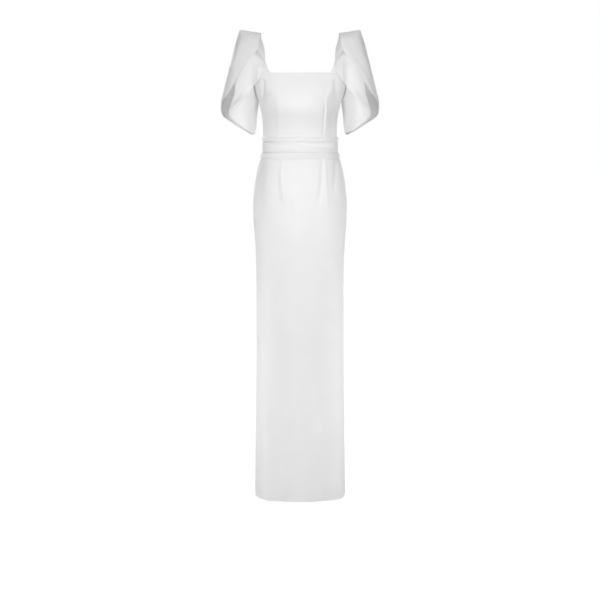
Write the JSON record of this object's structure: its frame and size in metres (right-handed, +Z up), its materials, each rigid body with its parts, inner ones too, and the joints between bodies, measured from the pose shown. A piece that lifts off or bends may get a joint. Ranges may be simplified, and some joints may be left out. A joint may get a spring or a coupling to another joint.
{
  "type": "long dress",
  "caption": "Full-length column gown in plain ivory crepe with a square neckline, layered petal sleeves, draped waistband and a concealed back zip, filled out as if worn",
  "frame": {"origin": "midway between the two shoulder straps, at the height of their underside, where the wearer's shoulders carry the dress", "axes": "+Z up along the dress, the front faces -Y, +X to the wearer's left"},
  "size_m": [0.5182, 0.2787, 1.5334],
  "materials": {
    "bodice_cloth": "plain ivory crepe, matte with a soft sheen",
    "sleeve_cloth": "plain ivory crepe, turned edges",
    "waistband_cloth": "plain ivory crepe laid in draped folds",
    "skirt_cloth": "plain ivory crepe, matte with a soft sheen",
    "zip_enamel": "off-white enamelled zinc, satin"
  },
  "bodies": {
    "dress": {"bodice_front": "bodice_cloth", "bodice_back_left": "bodice_cloth", "bodice_back_right": "bodice_cloth", "strap_left": "bodice_cloth", "strap_right": "bodice_cloth", "sleeve_outer_left": "sleeve_cloth", "sleeve_outer_right": "sleeve_cloth", "sleeve_drape_left": "sleeve_cloth", "sleeve_drape_right": "sleeve_cloth", "sleeve_lower_left": "sleeve_cloth", "sleeve_lower_right": "sleeve_cloth", "waistband_upper": "waistband_cloth", "waistband_middle": "waistband_cloth", "waistband_lower": "waistband_cloth", "skirt_front": "skirt_cloth", "skirt_back_left": "skirt_cloth", "skirt_back_right": "skirt_cloth", "zip_slider": "zip_enamel"},
    "zip_pull": {"zip_pull": "zip_enamel"}
  },
  "joints": [
    {"name": "zip_pull_hinge", "type": "hinge", "parent": "dress", "child": "zip_pull", "pos_m": [0, 0.11013, -0.15562], "axis": [1, 0, 0], "range_deg": [0, 150]}
  ]
}
